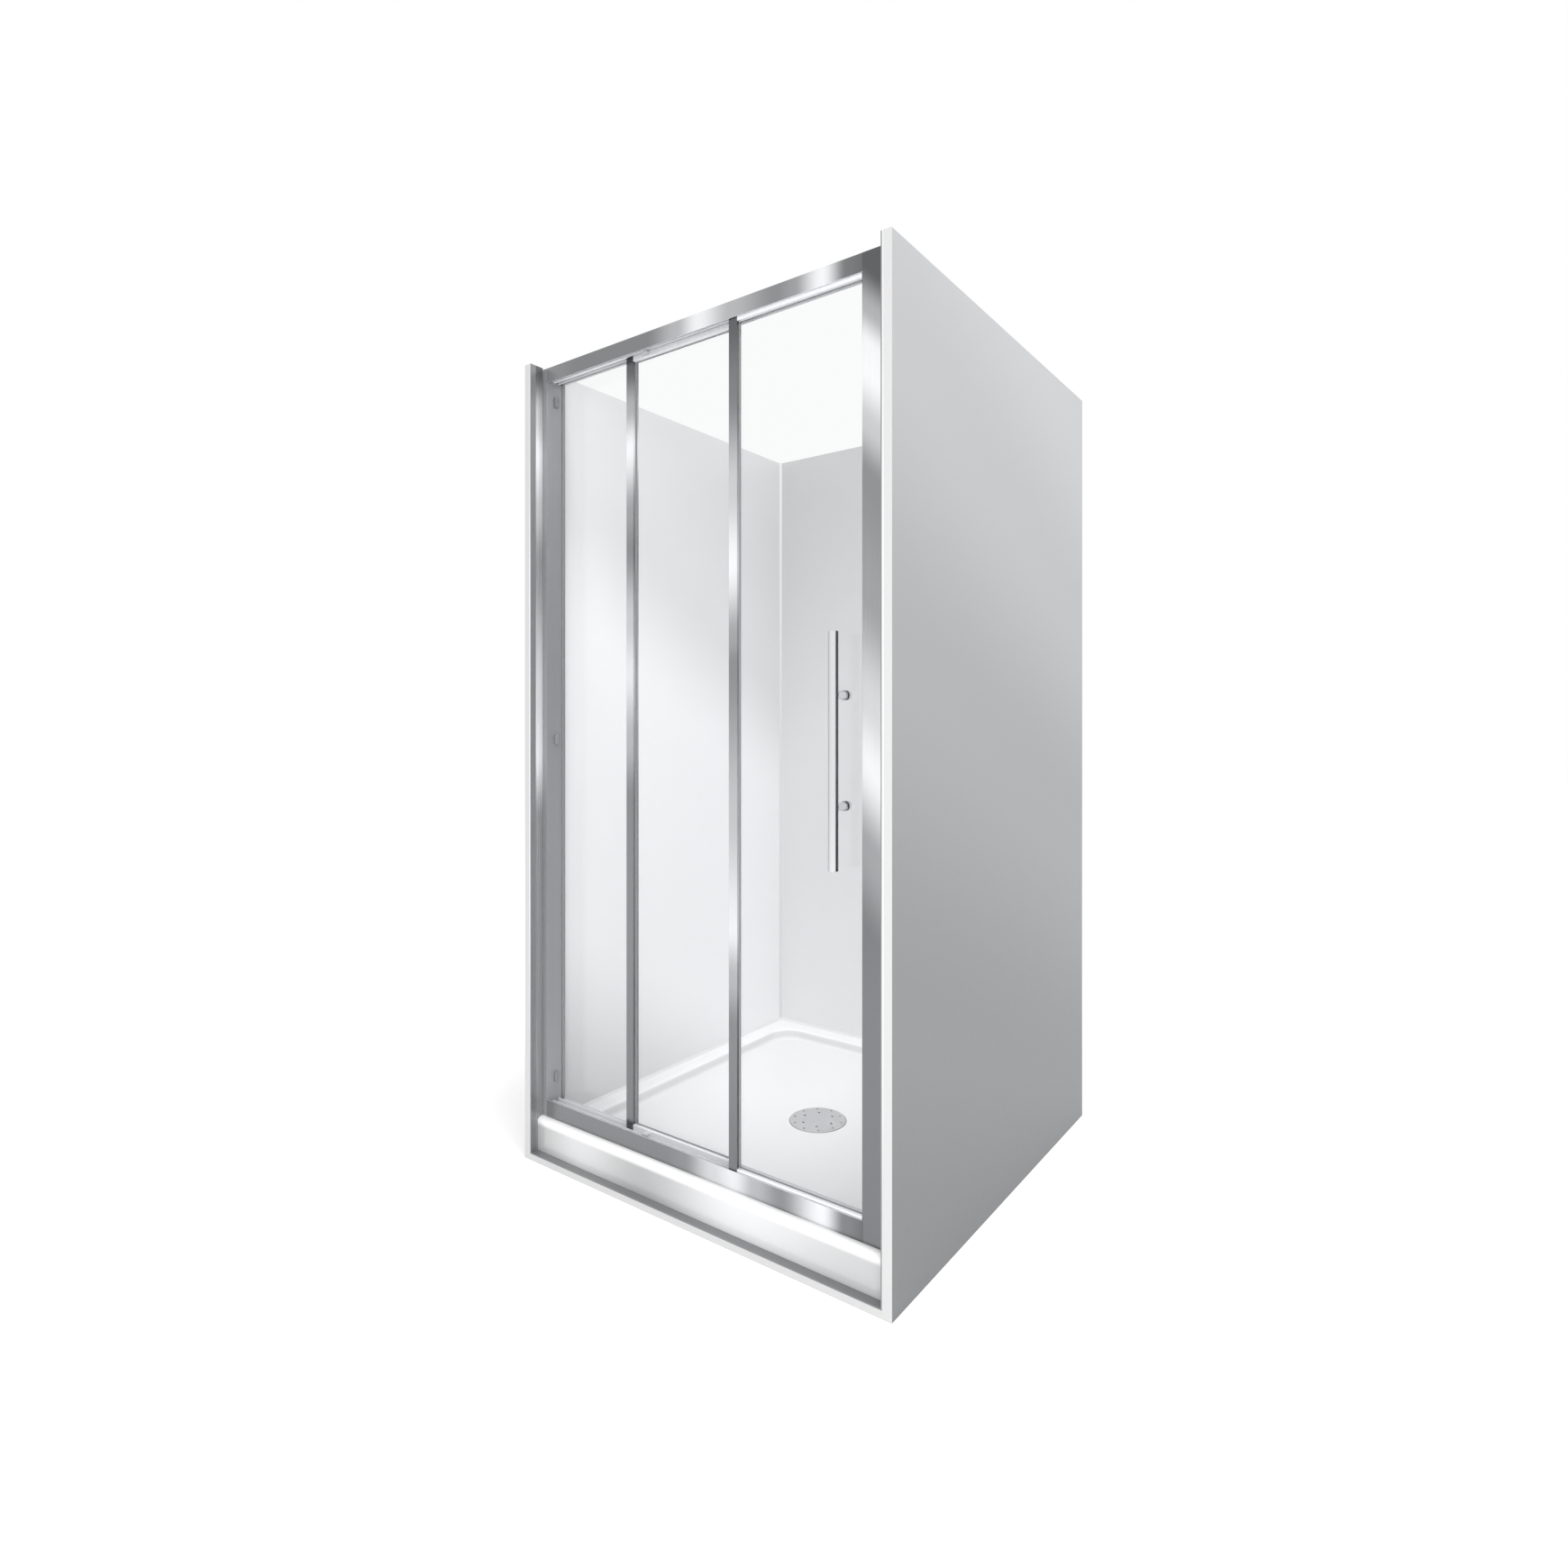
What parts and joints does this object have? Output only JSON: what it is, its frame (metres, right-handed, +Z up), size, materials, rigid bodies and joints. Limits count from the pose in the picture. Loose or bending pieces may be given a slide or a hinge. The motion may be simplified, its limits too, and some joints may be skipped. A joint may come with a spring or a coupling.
{
  "type": "shower enclosure with sliding door",
  "caption": "Square three-sided alcove shower with white lined walls, a white low tray with a round floor waste, and a framed sliding glass door in bays that telescope behind each other.",
  "frame": {"origin": "on the floor, below the middle of the outer box, which is also the axis of the floor waste", "axes": "+X to the right as seen from in front of the door, +Y from the door towards the back wall, +Z up"},
  "size_m": [1, 1, 1.88],
  "materials": {
    "board": "smooth moisture-proof board, light grey outside, pale cut edges",
    "liner": "glossy white acrylic sheet",
    "tray_acrylic": "glossy white moulded acrylic",
    "foam": "rigid foam fill",
    "silicone": "white silicone",
    "edge_trim": "polished trim",
    "frame_metal": "bright polished silver",
    "handle_metal": "chrome plated",
    "grate_metal": "satin steel",
    "stainless": "plain steel",
    "waste_plastic": "white moulded plastic",
    "nylon": "natural nylon",
    "rubber": "soft dark rubber",
    "gasket": "grey translucent glazing seal",
    "glass": "clear toughened glass"
  },
  "bodies": {
    "root": {"base_board": "board", "left_wall_board": "board", "right_wall_board": "board", "back_wall_board": "board", "left_wall_liner": "liner", "right_wall_liner": "liner", "back_wall_liner": "liner", "sealant_beads": "silicone", "tray_shell": "tray_acrylic", "tray_core": "foam", "left_edge_trim": "edge_trim", "right_edge_trim": "edge_trim", "bottom_edge_trim": "edge_trim", "waste_body": "waste_plastic", "waste_nut": "waste_plastic", "waste_gasket": "rubber", "left_wall_channel": "frame_metal", "right_wall_channel": "frame_metal", "wall_screws": "stainless", "left_jamb": "frame_metal", "right_jamb": "frame_metal", "header": "frame_metal", "sill": "frame_metal", "frame_screws": "stainless", "fixed_glass": "glass", "fixed_stile": "frame_metal", "fixed_glazing_gasket": "gasket", "jamb_bumpers": "rubber"},
    "middle_door": {"middle_glass": "glass", "middle_top_rail": "frame_metal", "middle_bottom_rail": "frame_metal", "middle_left_stile": "frame_metal", "middle_right_stile": "frame_metal", "middle_roller_brackets": "stainless", "middle_roller_axles": "stainless", "middle_bottom_guides": "nylon", "middle_glazing_gasket": "gasket", "middle_door_screws": "stainless", "middle_pickup_stops": "nylon"},
    "leading_door": {"leading_glass": "glass", "leading_top_rail": "frame_metal", "leading_bottom_rail": "frame_metal", "leading_left_stile": "frame_metal", "leading_right_stile": "frame_metal", "leading_roller_brackets": "stainless", "leading_roller_axles": "stainless", "leading_bottom_guides": "nylon", "leading_glazing_gasket": "gasket", "leading_door_screws": "stainless", "leading_closing_seal": "gasket", "handle_bar": "handle_metal", "handle_end_plugs": "handle_metal", "handle_posts": "handle_metal", "handle_inner_caps": "handle_metal", "handle_fixings": "stainless"},
    "waste_cover": {"waste_cover": "grate_metal"},
    "middle_left_wheel": {"middle_left_wheel": "nylon"},
    "middle_right_wheel": {"middle_right_wheel": "nylon"},
    "leading_left_wheel": {"leading_left_wheel": "nylon"},
    "leading_right_wheel": {"leading_right_wheel": "nylon"}
  },
  "joints": [
    {"name": "middle_door_slide", "type": "slide", "parent": "root", "child": "middle_door", "axis": [-1, 0, 0], "range_m": [0, 0.24]},
    {"name": "leading_door_slide", "type": "slide", "parent": "middle_door", "child": "leading_door", "axis": [-1, 0, 0], "range_m": [0, 0.24]},
    {"name": "waste_cover_lift", "type": "slide", "parent": "root", "child": "waste_cover", "axis": [0, 0, 1], "range_m": [0, 0.05]},
    {"name": "middle_left_wheel_spin", "type": "hinge", "parent": "middle_door", "child": "middle_left_wheel", "pos_m": [-0.167, -0.4429, 1.8595], "axis": [0, -1, 0], "continuous": true},
    {"name": "middle_right_wheel_spin", "type": "hinge", "parent": "middle_door", "child": "middle_right_wheel", "pos_m": [0.063, -0.4429, 1.8595], "axis": [0, -1, 0], "continuous": true},
    {"name": "leading_left_wheel_spin", "type": "hinge", "parent": "leading_door", "child": "leading_left_wheel", "pos_m": [0.147, -0.4599, 1.8595], "axis": [0, -1, 0], "continuous": true},
    {"name": "leading_right_wheel_spin", "type": "hinge", "parent": "leading_door", "child": "leading_right_wheel", "pos_m": [0.392, -0.4599, 1.8595], "axis": [0, -1, 0], "continuous": true}
  ],
  "couplings": [
    {"joint": "middle_left_wheel_spin", "follows": "middle_door_slide", "rad_per_m": 100},
    {"joint": "middle_right_wheel_spin", "follows": "middle_door_slide", "rad_per_m": 100},
    {"joint": "leading_left_wheel_spin", "follows": "leading_door_slide", "rad_per_m": 100},
    {"joint": "leading_right_wheel_spin", "follows": "leading_door_slide", "rad_per_m": 100}
  ]
}
